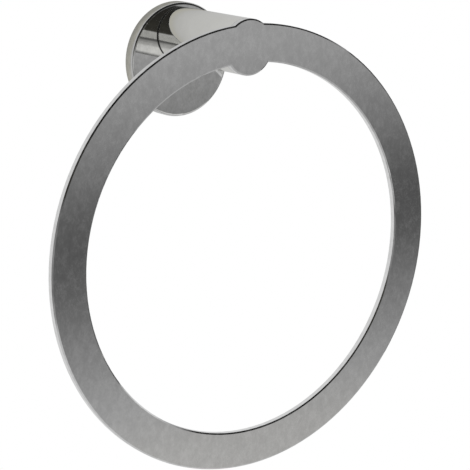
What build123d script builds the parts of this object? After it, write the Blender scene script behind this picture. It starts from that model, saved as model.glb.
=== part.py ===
from build123d import *
import os

# Towel ring for a wall: a flat ring with a boss, carried on a round post from an off-centre wall flange.
# Millimetres. Origin at the flange's centre on the wall, +Z up, the wall is the plane Y = 0, front is -Y.

# Ring
ring_outer_d = 203.0
ring_band = 16.9
ring_thickness = 3.2
ring_bevel_width = 0.65
ring_bevel_depth = 0.45
ring_back_chamfer = 0.4
boss_below_ring_top = 10.2

# Post
post_d = 25.0
post_seam_chamfer = 0.45

# Wall flange
projection = 60.0
flange_d = 52.8
flange_thickness = 5.6
flange_edge_radius = 1.2
flange_rim = 3.0
flange_recess_depth = 3.3
post_above_flange_centre = 11.8

# Stubs behind the ring and on the bracket, both with a flat underneath that stops the next piece turning
stub_d = 14.0
stub_flat_below_axis = 5.5
stub_chamfer = 0.6
bracket_stub_reach = 12.0
ring_stub_length = 8.0
stub_clearance = 0.1

# Wall bracket
bracket_thickness = 3.0
bracket_edge_clearance = 0.5
wall_screw_spacing = 30.0
wall_screw_hole_d = 4.6
wall_screw_head_d = 8.4

# Ring screw, M6, and grub screw, M5
ring_screw_d = 6.0
ring_screw_head_d = 10.0
ring_screw_head_height = 6.0
ring_screw_key = 5.0
ring_screw_key_depth = 3.0
ring_screw_bore_d = 6.6
ring_screw_engagement = 5.8
ring_screw_tip_space = 1.2
ring_screw_head_space = 5.5
grub_screw_d = 5.0
grub_screw_length = 6.0
grub_screw_key = 2.5
grub_screw_key_depth = 2.5
grub_screw_from_flange = 7.0
screw_edge_chamfer = 0.5
thread_clearance = 0.05

# Places worked out from the sizes above, as heights or as distances out from the wall
post_z = post_above_flange_centre
ring_z = post_z + boss_below_ring_top - ring_outer_d / 2
ring_front = projection
ring_back = ring_front - ring_thickness
post_length = ring_back - flange_thickness
flange_hole_d = stub_d + 2 * bracket_edge_clearance
bracket_d = flange_d - 2 * flange_rim - 2 * bracket_edge_clearance
bracket_stub_end = flange_thickness + bracket_stub_reach
ring_stub_end = ring_back - ring_stub_length
ring_screw_seat = bracket_stub_end + ring_screw_head_space + ring_screw_head_height
ring_screw_length = ring_stub_end + ring_screw_engagement - ring_screw_seat
ring_tap_depth = ring_screw_engagement + ring_screw_tip_space
grub_screw_y = flange_thickness + grub_screw_from_flange
grub_screw_top = post_z - stub_flat_below_axis

ring_axis = Axis((0, 0, ring_z), (0, 1, 0))
post_axis = Axis((0, 0, post_z), (0, 1, 0))
wall_plane = Plane.XZ
side_plane = Plane.YZ

os.makedirs("parts", exist_ok=True)


def stub_section(clearance=0.0):
    """Round section with a flat underneath, about the post's axis, in the sketch that is open."""
    flat_depth = stub_d / 2 - stub_flat_below_axis
    with Locations((0, post_z)):
        Circle(stub_d / 2 + clearance)
    with Locations((0, post_z - stub_d / 2 - clearance)):
        Rectangle(2 * stub_d, 2 * flat_depth, mode=Mode.SUBTRACT)


# Ring: flat band with bevelled edges, joined by the boss, whose back edge stays sharp against the post
with BuildPart() as ring:
    with BuildSketch(side_plane) as band_section:
        with Locations((-ring_back, ring_z + ring_outer_d / 2)):
            Rectangle(ring_thickness, ring_band, align=(Align.MAX, Align.MAX))
        band_front = band_section.edges().sort_by(Axis.X)[0]
        chamfer(band_front.vertices(), ring_bevel_width, ring_bevel_depth, reference=band_front)
        chamfer(band_section.vertices().sort_by(Axis.X)[-2:], ring_back_chamfer)
    revolve(axis=ring_axis)
    with BuildSketch(side_plane) as boss_section:
        with Locations((-ring_back, post_z)):
            Rectangle(ring_thickness, post_d / 2, align=(Align.MAX, Align.MIN))
        boss_front = boss_section.edges().sort_by(Axis.X)[0]
        boss_rim = boss_front.vertices().sort_by(Axis.Y)[-1]
        chamfer(boss_rim, ring_bevel_width, ring_bevel_depth, reference=boss_front)
    revolve(axis=post_axis)
    with BuildSketch(wall_plane.offset(ring_back)) as ring_stub:
        stub_section()
    extrude(amount=-ring_stub_length)
    ring_stub_face = ring.faces().filter_by(Axis.Y).sort_by(Axis.Y)[-1]
    chamfer(ring_stub_face.edges(), stub_chamfer)
    with BuildSketch(wall_plane.offset(ring_stub_end)) as ring_tapped_hole:
        with Locations((0, post_z)):
            Circle(ring_screw_d / 2 + thread_clearance)
    extrude(amount=ring_tap_depth, mode=Mode.SUBTRACT)
ring.part.label = "ring"

# Post: plain bar with a socket for a stub at each end, a bore for the ring screw and a tapped hole underneath
with BuildPart() as post:
    with BuildSketch(wall_plane.offset(flange_thickness)) as bar:
        with Locations((0, post_z)):
            Circle(post_d / 2)
    extrude(amount=post_length)
    post_wall_end = post.faces().filter_by(Axis.Y).sort_by(Axis.Y)[-1]
    chamfer(post_wall_end.edges(), post_seam_chamfer)
    with BuildSketch(wall_plane.offset(flange_thickness)) as wall_socket:
        stub_section(stub_clearance)
    extrude(amount=ring_screw_seat - flange_thickness, mode=Mode.SUBTRACT)
    with BuildSketch(wall_plane.offset(ring_back)) as ring_socket:
        stub_section(stub_clearance)
    extrude(amount=-ring_stub_length - stub_clearance, mode=Mode.SUBTRACT)
    with BuildSketch(wall_plane.offset(flange_thickness)) as screw_bore:
        with Locations((0, post_z)):
            Circle(ring_screw_bore_d / 2)
    extrude(amount=post_length, mode=Mode.SUBTRACT)
    with BuildSketch(Plane.XY.offset(post_z - post_d)) as grub_hole:
        with Locations((0, -grub_screw_y)):
            Circle(grub_screw_d / 2 + thread_clearance)
    extrude(amount=post_d, mode=Mode.SUBTRACT)
post.part.label = "post"

# Wall flange: shallow turned cover, with the bracket in its recess and a hole for the bracket's stub
with BuildPart() as wall_flange:
    with BuildSketch(wall_plane) as flange_outline:
        Circle(flange_d / 2)
    extrude(amount=flange_thickness)
    fillet(wall_flange.edges().sort_by(Axis.Y)[0], flange_edge_radius)
    with BuildSketch(wall_plane) as recess:
        Circle(flange_d / 2 - flange_rim)
    extrude(amount=flange_recess_depth, mode=Mode.SUBTRACT)
    with BuildSketch(wall_plane) as stub_hole:
        with Locations((0, post_z)):
            Circle(flange_hole_d / 2)
    extrude(amount=flange_thickness, mode=Mode.SUBTRACT)
wall_flange.part.label = "wall_flange"

# Wall bracket: cast disc with the stub for the post, countersunk from the front for two wall screws
with BuildPart() as wall_bracket:
    with BuildSketch(wall_plane) as disc:
        Circle(bracket_d / 2)
    extrude(amount=bracket_thickness)
    with BuildSketch(wall_plane) as bracket_stub:
        stub_section()
    extrude(amount=bracket_stub_end)
    bracket_stub_face = wall_bracket.faces().filter_by(Axis.Y).sort_by(Axis.Y)[0]
    chamfer(bracket_stub_face.edges(), stub_chamfer)
    with Locations(wall_plane.offset(bracket_thickness)):
        with GridLocations(wall_screw_spacing, 0, 2, 1):
            CounterSinkHole(wall_screw_hole_d / 2, wall_screw_head_d / 2, counter_sink_angle=90)
wall_bracket.part.label = "wall_bracket"

# Ring screw: socket head screw from the wall end of the post into the ring's stub
with BuildPart() as ring_screw:
    with BuildSketch(wall_plane.offset(ring_screw_seat)) as shank:
        with Locations((0, post_z)):
            Circle(ring_screw_d / 2)
    extrude(amount=ring_screw_length)
    ring_screw_tip = ring_screw.faces().filter_by(Axis.Y).sort_by(Axis.Y)[0]
    chamfer(ring_screw_tip.edges(), screw_edge_chamfer)
    with BuildSketch(wall_plane.offset(ring_screw_seat)) as head:
        with Locations((0, post_z)):
            Circle(ring_screw_head_d / 2)
    extrude(amount=-ring_screw_head_height)
    ring_screw_top = ring_screw.faces().filter_by(Axis.Y).sort_by(Axis.Y)[-1]
    chamfer(ring_screw_top.edges(), screw_edge_chamfer)
    with BuildSketch(wall_plane.offset(ring_screw_seat - ring_screw_head_height)) as head_key:
        with Locations((0, post_z)):
            RegularPolygon(ring_screw_key / 2, 6, major_radius=False)
    extrude(amount=ring_screw_key_depth, mode=Mode.SUBTRACT)
ring_screw.part.label = "ring_screw"

# Grub screw: headless screw under the post, its flat point against the flat of the bracket's stub
with BuildPart() as grub_screw:
    with BuildSketch(Plane.XY.offset(grub_screw_top)) as point:
        with Locations((0, -grub_screw_y)):
            Circle(grub_screw_d / 2)
    extrude(amount=-grub_screw_length)
    chamfer(grub_screw.faces().filter_by(Axis.Z).edges(), screw_edge_chamfer)
    with BuildSketch(Plane.XY.offset(grub_screw_top - grub_screw_length)) as grub_key:
        with Locations((0, -grub_screw_y)):
            RegularPolygon(grub_screw_key / 2, 6, major_radius=False)
    extrude(amount=grub_screw_key_depth, mode=Mode.SUBTRACT)
grub_screw.part.label = "grub_screw"

export_step(ring.part, "parts/ring.step")
export_step(post.part, "parts/post.step")
export_step(wall_flange.part, "parts/wall_flange.step")
export_step(wall_bracket.part, "parts/wall_bracket.step")
export_step(ring_screw.part, "parts/ring_screw.step")
export_step(grub_screw.part, "parts/grub_screw.step")
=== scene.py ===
import bpy
import math
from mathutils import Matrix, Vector


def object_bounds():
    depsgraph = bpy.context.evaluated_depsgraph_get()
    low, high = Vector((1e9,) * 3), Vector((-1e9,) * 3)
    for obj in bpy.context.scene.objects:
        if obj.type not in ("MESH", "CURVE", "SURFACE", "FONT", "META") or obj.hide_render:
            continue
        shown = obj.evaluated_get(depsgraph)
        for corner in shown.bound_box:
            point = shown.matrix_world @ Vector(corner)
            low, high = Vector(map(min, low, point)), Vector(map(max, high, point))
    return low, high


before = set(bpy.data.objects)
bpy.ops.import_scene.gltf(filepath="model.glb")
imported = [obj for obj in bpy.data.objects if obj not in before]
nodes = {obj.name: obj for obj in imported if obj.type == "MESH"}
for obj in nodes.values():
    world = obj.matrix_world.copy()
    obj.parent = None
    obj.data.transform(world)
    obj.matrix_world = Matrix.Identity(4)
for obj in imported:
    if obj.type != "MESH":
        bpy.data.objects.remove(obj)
cad_low, cad_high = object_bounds()

# Ring
# A flat ring with a round boss at its top, in one piece from thin brass plate. Its face and edges are buffed
# to a mirror and its back a little less, then all is chrome plated, and the back is painted darker as painted
# shade. A stub behind the boss is drawn into the post by a hidden screw.
mm = 0.001
mottle_size = (4.0 * mm, 4.0 * mm, 5.6 * mm)
wave_size = (9.0 * mm, 9.0 * mm, 14.0 * mm)
grain_turn = (0.5, 0.35, 0.2)


def add_node(tree, kind, inputs=None, **settings):
    """One shader node. Each input is set to a value, or joined to another node's output."""
    made = tree.nodes.new(kind)
    for name, value in settings.items():
        setattr(made, name, value)
    for name, value in (inputs or {}).items():
        if isinstance(value, bpy.types.NodeSocket):
            tree.links.new(value, made.inputs[name])
        else:
            made.inputs[name].default_value = value
    return made


def new_group(name, inputs, outputs):
    """A shader node group with named sockets, and the ends that its own nodes are joined to."""
    group = bpy.data.node_groups.new(name, "ShaderNodeTree")
    for direction, sockets in (("INPUT", inputs), ("OUTPUT", outputs)):
        for socket, kind in sockets.items():
            group.interface.new_socket(socket, in_out=direction, socket_type="NodeSocket" + kind)
    given = group.nodes.new("NodeGroupInput").outputs
    result = group.nodes.new("NodeGroupOutput").inputs
    return group, given, result


def grained(tree, grain_size, seed_shift=0.0, detail=2.0, fineness=0.5):
    """Noise in blotches of the given size along X, Y and Z, turned so that its own grid doesn't show."""
    place = add_node(tree, "ShaderNodeTexCoord").outputs["Object"]
    stretched = add_node(tree, "ShaderNodeMapping", {
        "Vector": place,
        "Location": (seed_shift, seed_shift, seed_shift),
        "Rotation": grain_turn,
        "Scale": tuple(1 / size for size in grain_size),
    })
    return add_node(tree, "ShaderNodeTexNoise", {
        "Vector": stretched.outputs["Vector"],
        "Scale": 1.0,
        "Detail": detail,
        "Roughness": fineness,
    }).outputs["Fac"]


def spread(tree, value, low, high, reach=0.25):
    """A noise value stretched from low to high over the middle of its range."""
    return add_node(tree, "ShaderNodeMapRange", {
        "Value": value,
        "From Min": 0.5 - reach,
        "From Max": 0.5 + reach,
        "To Min": low,
        "To Max": high,
    }).outputs["Result"]


# Plating that has been buffed by hand: a fine mottle of clean and hazy spots, and faint waves. A hazy spot is
# lighter and duller than a clean one, and the haziest have a bloom that scatters light.
buffing, given, result = new_group(
    "buffed_plating",
    {"Clean": "Color", "Hazy": "Color", "Polished": "Float", "Dull": "Float"},
    {"Colour": "Color", "Roughness": "Float", "Waves": "Float", "Bloom": "Float"})
mottle = grained(buffing, mottle_size, detail=3.0, fineness=0.9)
waves = grained(buffing, wave_size, seed_shift=3.0, detail=0.0)
haze = spread(buffing, mottle, 0.0, 1.0, reach=0.165)
tint = add_node(buffing, "ShaderNodeMix", {
    "Factor": haze,
    "A": given["Clean"],
    "B": given["Hazy"],
}, data_type="RGBA")
dullness = add_node(buffing, "ShaderNodeMapRange", {
    "Value": haze,
    "To Min": given["Polished"],
    "To Max": given["Dull"],
})
bloom = add_node(buffing, "ShaderNodeMapRange", {"Value": haze, "From Min": 0.4, "From Max": 1.0})
buffing.links.new(tint.outputs["Result"], result["Colour"])
buffing.links.new(dullness.outputs["Result"], result["Roughness"])
buffing.links.new(waves, result["Waves"])
buffing.links.new(bloom.outputs["Result"], result["Bloom"])


def plated_metal(name, clean, hazy, polished, dull, wave_height):
    """A plated finish with the buffing marks above, in its own two colours and two degrees of polish."""
    material = bpy.data.materials.new(name)
    material.use_nodes = True
    tree = material.node_tree
    surface = tree.nodes["Principled BSDF"]
    marks = add_node(tree, "ShaderNodeGroup", {
        "Clean": clean,
        "Hazy": hazy,
        "Polished": polished,
        "Dull": dull,
    }, node_tree=buffing, name="buffing marks")
    bump = add_node(tree, "ShaderNodeBump", {"Height": marks.outputs["Waves"], "Distance": wave_height})
    surface.inputs["Metallic"].default_value = 1.0
    tree.links.new(marks.outputs["Colour"], surface.inputs["Base Color"])
    tree.links.new(marks.outputs["Roughness"], surface.inputs["Roughness"])
    tree.links.new(bump.outputs["Normal"], surface.inputs["Normal"])
    return material


def dress(node_name, material):
    """Puts a finish on every material slot of a CAD node."""
    mesh = nodes[node_name].data
    if not mesh.materials:
        mesh.materials.append(material)
    for index in range(len(mesh.materials)):
        mesh.materials[index] = material


def reach_of(node_name, axis):
    """Lowest and highest place of a CAD node along its axis x, y or z."""
    places = [getattr(vertex.co, axis) for vertex in nodes[node_name].data.vertices]
    return min(places), max(places)


def beyond(tree, start, blur):
    """A mask that rises from nothing to one, over the blur, past this place on the way to the wall."""
    place = add_node(tree, "ShaderNodeTexCoord").outputs["Object"]
    into_wall = add_node(tree, "ShaderNodeSeparateXYZ", {"Vector": place}).outputs["Y"]
    return add_node(tree, "ShaderNodeMapRange", {
        "Value": into_wall,
        "From Min": start,
        "From Max": start + blur,
    }).outputs["Result"]


def overlay(tree, socket, mask, value):
    """Where the mask is one, this value takes the place of what feeds the shader's socket."""
    kind = "RGBA" if isinstance(value, tuple) else "FLOAT"
    below = socket.links[0].from_socket if socket.links else socket.default_value
    mixed = add_node(tree, "ShaderNodeMix", {"Factor": mask, "A": below, "B": value}, data_type=kind)
    tree.links.new(mixed.outputs["Result"], socket)


# The post runs from the ring's back to the flange's face.
ring_back_place, flange_face_place = reach_of("post", "y")

bloom_metallic = 0.973
# Painted shade: the ring's back gets a darker colour than its face, besides its rougher finish.
ring_back_shade_colour = (0.675, 0.675, 0.664, 1)
ring_back_roughness = 0.16
ring_back_margin = 0.3 * mm
ring_back_blur = 0.2 * mm
ring_chrome = plated_metal(
    "ring_chrome", clean=(0.795, 0.795, 0.795, 1), hazy=(0.93, 0.93, 0.93, 1), polished=0.055, dull=0.08,
    wave_height=0.004 * mm)
tree = ring_chrome.node_tree
surface = tree.nodes["Principled BSDF"]
overlay(tree, surface.inputs["Metallic"], tree.nodes["buffing marks"].outputs["Bloom"], bloom_metallic)
ring_back = beyond(tree, ring_back_place - ring_back_margin, ring_back_blur)
overlay(tree, surface.inputs["Base Color"], ring_back, ring_back_shade_colour)
overlay(tree, surface.inputs["Roughness"], ring_back, ring_back_roughness)
dress("ring", ring_chrome)

# Post
# A straight brass bar, turned and polished along its length, and plated like the ring. It slides on the wall
# bracket's stub, where a grub screw from below holds it. A narrow band round its wall end, the bevel there
# and a little more, is painted dark and not metallic, as painted shade in the joint with the flange.
# Painted shade: a dark, non-metal band round the post's wall end, where it meets the flange.
seam_shade_colour = (0.055, 0.055, 0.051, 1)
seam_shade_width = 0.9 * mm
seam_shade_blur = 0.1 * mm
post_chrome = plated_metal(
    "post_chrome", clean=(0.88, 0.878, 0.84, 1), hazy=(0.91, 0.908, 0.875, 1), polished=0.02, dull=0.04,
    wave_height=0.0002 * mm)
tree = post_chrome.node_tree
surface = tree.nodes["Principled BSDF"]
seam_shade = beyond(tree, flange_face_place - seam_shade_width, seam_shade_blur)
overlay(tree, surface.inputs["Base Color"], seam_shade, seam_shade_colour)
overlay(tree, surface.inputs["Metallic"], seam_shade, 0.0)
dress("post", post_chrome)

# Wall flange
# A shallow turned brass cover that hides the bracket, polished to a mirror and plated like the post. The post
# stands above its middle, and the post's end presses it to the wall.
dress("wall_flange", plated_metal(
    "flange_chrome", clean=(0.68, 0.68, 0.675, 1), hazy=(0.885, 0.885, 0.88, 1), polished=0.02, dull=0.04,
    wave_height=0.0002 * mm))

# Wall bracket
# A die-cast zinc disc with a stub, left as it comes from the mould: grey, a little blotched and finely
# grained. Two countersunk screws hold it to the wall, out of sight behind the flange.
zinc_light = (0.62, 0.63, 0.64, 1)
zinc_dark = (0.46, 0.47, 0.49, 1)
blotch_size = 4 * mm
pore_size = 0.35 * mm
pore_depth = 0.05 * mm
zinc = bpy.data.materials.new("cast_zinc")
zinc.use_nodes = True
tree = zinc.node_tree
surface = tree.nodes["Principled BSDF"]
surface.inputs["Metallic"].default_value = 1.0
blotches = grained(tree, (blotch_size, blotch_size, blotch_size), detail=4.0)
pores = grained(tree, (pore_size, pore_size, pore_size), seed_shift=5.0, detail=3.0)
zinc_colour = add_node(tree, "ShaderNodeMix", {
    "Factor": spread(tree, blotches, 0.0, 1.0),
    "A": zinc_light,
    "B": zinc_dark,
}, data_type="RGBA")
zinc_bump = add_node(tree, "ShaderNodeBump", {"Height": pores, "Distance": pore_depth, "Strength": 0.6})
tree.links.new(zinc_colour.outputs["Result"], surface.inputs["Base Color"])
tree.links.new(spread(tree, pores, 0.38, 0.55), surface.inputs["Roughness"])
tree.links.new(zinc_bump.outputs["Normal"], surface.inputs["Normal"])
dress("wall_bracket", zinc)

# Ring screw and grub screw
# Hardened steel screws with hexagon sockets and rolled threads, blackened and lightly oiled. The long one
# runs inside the post into the ring's stub, and the short one points up through the post's underside.
steel_light = (0.20, 0.20, 0.21, 1)
steel_dark = (0.12, 0.12, 0.125, 1)
blackening_size = 1.5 * mm
scale_size = 0.12 * mm
scale_depth = 0.01 * mm
shank_margin = 0.15 * mm


def worked(tree, operation, *values):
    """One step of arithmetic."""
    return add_node(tree, "ShaderNodeMath", dict(enumerate(values)), operation=operation).outputs["Value"]


# A ridge winds once round the axis in each pitch. It keeps to the shank's radius, off the socket and head.
thread, given, result = new_group(
    "rolled_thread", dict.fromkeys(("Along", "Across", "Up", "Pitch", "Radius"), "Float"), {"Ridge": "Float"})
turns = worked(thread, "DIVIDE", worked(thread, "ARCTAN2", given["Across"], given["Up"]), 2 * math.pi)
winding = worked(thread, "SUBTRACT", worked(thread, "DIVIDE", given["Along"], given["Pitch"]), turns)
across_squared = worked(thread, "MULTIPLY", given["Across"], given["Across"])
out_squared = worked(thread, "MULTIPLY_ADD", given["Up"], given["Up"], across_squared)
on_shank = worked(thread, "COMPARE", worked(thread, "SQRT", out_squared), given["Radius"], shank_margin)
ridge = worked(thread, "MULTIPLY", worked(thread, "PINGPONG", winding, 0.5), on_shank)
thread.links.new(ridge, result["Ridge"])


def blackened_steel(name, axis, along, across, up, pitch, radius):
    """Oiled black steel with a thread about an axis. The three letters are the thread's own directions."""
    steel = bpy.data.materials.new(name)
    steel.use_nodes = True
    tree = steel.node_tree
    surface = tree.nodes["Principled BSDF"]
    surface.inputs["Metallic"].default_value = 1.0
    blackening = grained(tree, (blackening_size, blackening_size, blackening_size), detail=3.0)
    scale_marks = grained(tree, (scale_size, scale_size, scale_size), seed_shift=9.0)
    colour = add_node(tree, "ShaderNodeMix", {
        "Factor": spread(tree, blackening, 0.0, 1.0),
        "A": steel_light,
        "B": steel_dark,
    }, data_type="RGBA")
    place = add_node(tree, "ShaderNodeTexCoord").outputs["Object"]
    from_axis = add_node(tree, "ShaderNodeVectorMath", {0: place, 1: axis}, operation="SUBTRACT")
    parts = add_node(tree, "ShaderNodeSeparateXYZ", {"Vector": from_axis.outputs["Vector"]}).outputs
    ridges = add_node(tree, "ShaderNodeGroup", {
        "Along": parts[along],
        "Across": parts[across],
        "Up": parts[up],
        "Pitch": pitch,
        "Radius": radius,
    }, node_tree=thread)
    thread_bump = add_node(tree, "ShaderNodeBump", {"Height": ridges.outputs["Ridge"], "Distance": pitch})
    scale_bump = add_node(tree, "ShaderNodeBump", {
        "Height": scale_marks,
        "Distance": scale_depth,
        "Strength": 0.5,
        "Normal": thread_bump.outputs["Normal"],
    })
    tree.links.new(colour.outputs["Result"], surface.inputs["Base Color"])
    tree.links.new(spread(tree, blackening, 0.25, 0.42), surface.inputs["Roughness"])
    tree.links.new(scale_bump.outputs["Normal"], surface.inputs["Normal"])
    return steel


ring_screw_height = sum(reach_of("ring_screw", "z")) / 2
grub_screw_place = sum(reach_of("grub_screw", "y")) / 2
dress("ring_screw", blackened_steel(
    "ring_screw_steel", axis=(0, 0, ring_screw_height), along="Y", across="X", up="Z",
    pitch=1.0 * mm, radius=3.0 * mm))
dress("grub_screw", blackened_steel(
    "grub_screw_steel", axis=(0, grub_screw_place, 0), along="Z", across="Y", up="X",
    pitch=0.8 * mm, radius=2.5 * mm))

# Floor
# A plain pale disc under the object. It glows a little where the camera, a mirror or glass shows it, so that
# it looks nearly as white as the backdrop and still takes the object's shadow.
floor_height = -0.6
floor_radius = 0.6
floor_sides = 96
floor_colour = (0.80, 0.80, 0.80, 1)
floor_lift = 0.2


def flat_sheet(name, corners):
    """A flat stage sheet with the given outline."""
    mesh = bpy.data.meshes.new(name)
    mesh.from_pydata([Vector(c) for c in corners], [], [list(range(len(corners)))])
    sheet = bpy.data.objects.new(name, mesh)
    bpy.context.scene.collection.objects.link(sheet)
    return sheet


def round_outline(radius, sides):
    """Corners of a regular outline round the origin, as pairs."""
    angles = [2 * math.pi * corner / sides for corner in range(sides)]
    return [(radius * math.cos(angle), radius * math.sin(angle)) for angle in angles]


def seen_rays(tree):
    """One for rays that show the surface as it is: from the camera, in a mirror, or through glass."""
    path = add_node(tree, "ShaderNodeLightPath").outputs
    camera_or_mirror = worked(tree, "MAXIMUM", path["Is Camera Ray"], path["Is Glossy Ray"])
    return worked(tree, "MAXIMUM", camera_or_mirror, path["Is Transmission Ray"])


floor = flat_sheet("floor", [(x, y, floor_height) for x, y in round_outline(floor_radius, floor_sides)])
floor_paint = bpy.data.materials.new("pale_floor")
floor_paint.use_nodes = True
tree = floor_paint.node_tree
surface = tree.nodes["Principled BSDF"]
surface.inputs["Base Color"].default_value = floor_colour
surface.inputs["Roughness"].default_value = 0.9
surface.inputs["Specular IOR Level"].default_value = 0.0
surface.inputs["Emission Color"].default_value = (1, 1, 1, 1)
tree.links.new(worked(tree, "MULTIPLY", seen_rays(tree), floor_lift), surface.inputs["Emission Strength"])
floor.data.materials.append(floor_paint)

# Studio cards
# Painted cards stand round the object, out of the picture, and only its mirror finish shows them. One is the
# wall it hangs on, with a disc behind the flange, one lies on the floor and five stand far in front. The rest
# are the sides, back and ceiling of the room, and three lighter panels at its sides.


def mirror_card(name, corners, place, stops, fade=None):
    """A glowing card that only mirrors see. Its tones run along place(tree), and fade(tree) dims it."""
    card = flat_sheet(name, corners)
    for ray in ("camera", "diffuse", "transmission", "volume_scatter", "shadow"):
        setattr(card, "visible_" + ray, False)
    paint = bpy.data.materials.new(name + "_paint")
    paint.use_nodes = True
    paint.cycles.emission_sampling = "NONE"
    tree = paint.node_tree
    tree.nodes.remove(tree.nodes["Principled BSDF"])
    start, end = stops[0][0], stops[-1][0]
    share = add_node(tree, "ShaderNodeMapRange", {"Value": place(tree), "From Min": start, "From Max": end})
    ramp = add_node(tree, "ShaderNodeValToRGB", {"Fac": share.outputs["Result"]})
    tones = ramp.color_ramp.elements
    while len(tones) < len(stops):
        tones.new(0.5)
    for element, (where, tone) in zip(tones, stops):
        element.position = (where - start) / (end - start)
    for element, (where, tone) in zip(tones, stops):
        element.color = (*tone, 1) if isinstance(tone, tuple) else (tone, tone, tone, 1)
    glow = add_node(tree, "ShaderNodeEmission", {"Color": ramp.outputs["Color"]})
    if fade:
        tree.links.new(fade(tree), glow.inputs["Strength"])
    tree.links.new(glow.outputs["Emission"], tree.nodes["Material Output"].inputs["Surface"])
    card.data.materials.append(paint)


def upright(start, end, low, high):
    """Corners of an upright sheet over the line on the ground from one point to another."""
    return [(*start, low), (*end, low), (*end, high), (*start, high)]


def level(left, right, front, back, z):
    """Corners of a level sheet at the height z."""
    return [(left, front, z), (right, front, z), (right, back, z), (left, back, z)]


def from_position(operation, other):
    """What a card's tones run along: its position in the object's frame, measured against another vector."""
    def place(tree):
        position = add_node(tree, "ShaderNodeNewGeometry").outputs["Position"]
        measured = add_node(tree, "ShaderNodeVectorMath", {0: position, 1: other}, operation=operation)
        return measured.outputs["Value"]
    return place


def along(direction):
    """Position along a direction."""
    return from_position("DOT_PRODUCT", direction)


shade_middle = (0, 0, 2 * mm)
lower_right = (0.5, 0, -0.5)


def out_from_flange(tree):
    """Distance from near the flange's middle, stretched to the lower right, where the wall is lighter."""
    out = from_position("DISTANCE", shade_middle)(tree)
    stretch = worked(tree, "MAXIMUM", along(lower_right)(tree), 0.0)
    return worked(tree, "ADD", out, stretch)


height = along((0, 0, 1))

# Painted shadow: the wall card is darker and warmer close to the flange, and less so towards the lower right.
wall_gap = 0.5 * mm
wall_left, wall_right, wall_low, wall_high = -0.30, 0.16, -0.30, 0.30
wall_corners = upright((wall_left, wall_gap), (wall_right, wall_gap), wall_low, wall_high)
mirror_card("wall_card", wall_corners, out_from_flange, (
    (25 * mm, (0.30, 0.296, 0.268)), (26.4 * mm, (0.335, 0.33, 0.30)), (27.1 * mm, (0.38, 0.374, 0.337)),
    (28.3 * mm, (0.43, 0.42, 0.375)), (29.1 * mm, (0.436, 0.428, 0.395)), (30.1 * mm, (0.437, 0.432, 0.415)),
    (31 * mm, (0.449, 0.447, 0.437)), (32.7 * mm, 0.472), (34.6 * mm, 0.488), (37.5 * mm, 0.508),
    (40 * mm, 0.526), (48 * mm, 0.54), (60 * mm, 0.575), (84 * mm, 0.655), (150 * mm, 0.70)))

disc_radius, disc_sides, disc_tone = 25.5 * mm, 48, 0.65
disc_corners = [(x, wall_gap / 2, z) for x, z in round_outline(disc_radius, disc_sides)]
mirror_card("behind_flange_card", disc_corners, height, ((-disc_radius, disc_tone), (disc_radius, disc_tone)))

mat_left, mat_right, mat_front, mat_back = -0.9, 0.9, -0.75, 0.9
mat_height = floor_height + 5 * mm
back_and_left = (-0.75, 1, 0)
mirror_card("floor_card", level(mat_left, mat_right, mat_front, mat_back, mat_height), along(back_and_left), (
    (-1.3, 0.85), (-0.75, 0.70), (-0.60, 0.44), (-0.47, 0.41), (-0.30, 0.47), (-0.24, 0.51), (-0.19, 0.58),
    (1.0, 0.59)))

# Places on the cards in front are runs sideways and rises, for each unit of distance from the ring, which is
# the widest and lowest piece.
card_distance = 8.0
front_y = cad_low.y - card_distance
ring_middle = cad_low.z + (cad_high.x - cad_low.x) / 2
room_left, room_right, room_low, room_high = -0.74, 1.25, -0.95, 1.0


def at_rise(rise):
    """Height on a front card at this rise from the ring's middle."""
    return ring_middle + rise * card_distance


def by_rise(stops):
    """Tones given by rise, as tones by height."""
    return [(at_rise(rise), tone) for rise, tone in stops]


low_z, high_z = at_rise(room_low), at_rise(room_high)


def front_card(name, from_run, to_run, stops, fade=None):
    """A card far in front, between two sideways runs, with its tones along the rise."""
    corners = upright((from_run * card_distance, front_y), (to_run * card_distance, front_y), low_z, high_z)
    mirror_card(name, corners, height, by_rise(stops), fade)


dim_from, dim_to, dim_level = 0.585, 0.87, 0.875


def dimmer_to_the_right(tree):
    """The far right of the front is a little darker."""
    return add_node(tree, "ShaderNodeMapRange", {
        "Value": along((1, 0, 0))(tree),
        "From Min": dim_from * card_distance,
        "From Max": dim_to * card_distance,
        "To Min": 1.0,
        "To Max": dim_level,
    }).outputs["Result"]


far_left, left, middle, near_right = -0.60, -0.46, 0.30, 0.52
front_card("front_right_card", near_right, room_right, (
    (-0.85, (0.70, 0.695, 0.675)), (-0.45, (0.446, 0.442, 0.432)), (-0.42, 0.382), (-0.32, 0.122),
    (-0.29, 0.098), (-0.265, 0.121), (-0.18, 0.331), (-0.15, 0.392), (0.0, 0.24), (0.28, 0.03), (1.0, 0.03),
), dimmer_to_the_right)
front_card("front_near_right_card", middle, near_right, (
    (-0.85, 0.68), (-0.60, 0.60), (-0.56, 0.42), (-0.52, 0.29), (-0.46, 0.18), (-0.38, 0.13), (-0.22, 0.20),
    (0.0, 0.25), (0.28, 0.03), (1.0, 0.03)))
front_card("front_middle_card", left, middle, (
    (-0.85, 0.38), (-0.73, 0.38), (-0.70, 0.67), (-0.66, 0.69), (-0.62, 0.67), (-0.575, 0.45), (-0.515, 0.40),
    (-0.45, 0.23), (-0.41, 0.13), (-0.36, 0.17), (-0.22, 0.42), (0.0, 0.50), (0.06, 0.42),
    (0.16, (0.050, 0.049, 0.044)), (0.3, (0.037, 0.036, 0.031)), (0.7, (0.025, 0.024, 0.022)), (0.8, 0.010),
    (1.0, 0.01)))
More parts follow.
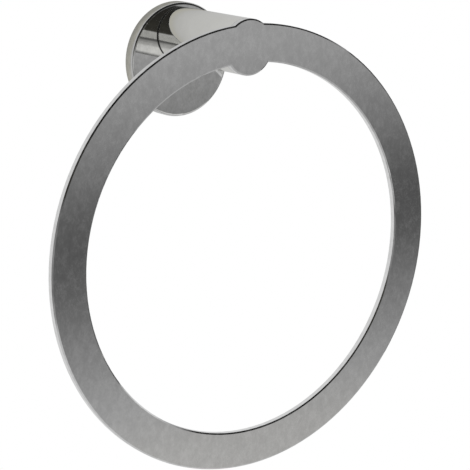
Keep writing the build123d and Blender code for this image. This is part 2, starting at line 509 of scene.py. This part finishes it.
front_card("front_left_card", far_left, left, (
    (-0.85, 0.24), (-0.62, 0.31), (-0.57, 0.42), (-0.515, 0.40), (-0.47, 0.35), (-0.44, 0.285),
    (-0.41, 0.186), (-0.38, 0.105), (-0.35, 0.12), (-0.31, 0.19), (-0.27, 0.19), (-0.11, 0.25), (0.04, 0.20),
    (0.12, (0.050, 0.049, 0.043)), (0.35, (0.035, 0.034, 0.029)), (0.6, (0.026, 0.025, 0.023)), (0.7, 0.010),
    (1.0, 0.01)))
front_card("front_far_left_card", room_left, far_left, (
    (-0.85, 0.24), (-0.45, 0.20), (-0.38, 0.105), (-0.31, 0.19), (-0.28, 0.30), (-0.20, 0.42), (-0.05, 0.46),
    (0.0, 0.42), (0.05, (0.051, 0.050, 0.044)), (0.12, (0.039, 0.038, 0.033)), (0.35, (0.037, 0.036, 0.032)),
    (0.6, 0.03), (1.0, 0.01)))

left_x, right_x = room_left * card_distance, room_right * card_distance
back_y = card_distance
left_stops = by_rise((
    (room_low, 0.47), (-0.64, 0.43), (-0.53, 0.29), (-0.35, 0.18), (-0.12, 0.25), (0.1, 0.17), (0.3, 0.06),
    (0.6, 0.02)))
dim_stops = by_rise(((room_low, 0.09), (0.1, 0.09), (0.3, 0.015)))
mirror_card("left_card", upright((left_x, back_y), (left_x, front_y), low_z, high_z), height, left_stops)
mirror_card("right_card", upright((right_x, front_y), (right_x, back_y), low_z, high_z), height, dim_stops)
mirror_card("back_card", upright((right_x, back_y), (left_x, back_y), low_z, high_z), height, dim_stops)
mirror_card("ceiling_card", level(left_x, right_x, front_y, back_y, high_z), height, dim_stops)

panel_gap = 0.1
left_panel_x, right_panel_x = left_x + panel_gap, right_x - panel_gap
left_panel_front, left_panel_tone = -3.0, 0.45
mirror_card("left_side_card", upright(
    (left_panel_x, back_y), (left_panel_x, left_panel_front), low_z, high_z,
), height, ((low_z, left_panel_tone), (high_z, left_panel_tone)))
low_panel_back, low_panel_high = -1.0, at_rise(-0.15)
mirror_card("low_right_card", upright(
    (right_panel_x, front_y), (right_panel_x, low_panel_back), low_z, low_panel_high,
), height, ((low_z, 0.35), (low_panel_high, 0.22)))
panel_front, panel_back, panel_low, panel_high = -5.2, -0.7, 0.3, 4.9
mirror_card("right_panel_card", upright(
    (right_panel_x, panel_front), (right_panel_x, panel_back), panel_low, panel_high,
), height, ((panel_low, 0.45), (1.4, 0.68), (2.4, 0.66), (3.4, 0.38), (panel_high, 0.06)))

# Light
# White all round where it shows, a plain even level where it lights, and one broad soft lamp overhead that
# leaves the object's shadow on the floor.
even_level = 0.7
world = bpy.data.worlds.new("studio")
bpy.context.scene.world = world
world.use_nodes = True
tree = world.node_tree
strength = add_node(tree, "ShaderNodeMapRange", {
    "Value": seen_rays(tree),
    "To Min": even_level,
    "To Max": 1.0,
})
backdrop = tree.nodes["Background"]
backdrop.inputs["Color"].default_value = (1, 1, 1, 1)
tree.links.new(strength.outputs["Result"], backdrop.inputs["Strength"])

lamp = bpy.data.lights.new("overhead_softbox", "AREA")
lamp.size = 1.2
lamp.energy = 6.0
overhead = bpy.data.objects.new("overhead_softbox", lamp)
overhead.location = (0, 0, 1.4)
overhead.visible_glossy = False
bpy.context.scene.collection.objects.link(overhead)

# Camera
# A long lens from the front left, a little above the post, so that the ring fills the square picture. Its
# place, aim and length were fitted to the outlines of the ring, boss, post and flange.
camera = bpy.data.objects.new("camera", bpy.data.cameras.new("camera"))
camera.data.sensor_width = 36.0
camera.data.lens = 141.78
camera.location = (-0.47026, -0.71025, 0.1231)
aim = Vector((-0.00772, -0.05956, -0.07128))
camera.rotation_euler = (aim - camera.location).to_track_quat("-Z", "Y").to_euler()
bpy.context.scene.collection.objects.link(camera)
bpy.context.scene.camera = camera
bpy.context.scene.view_settings.view_transform = "Standard"
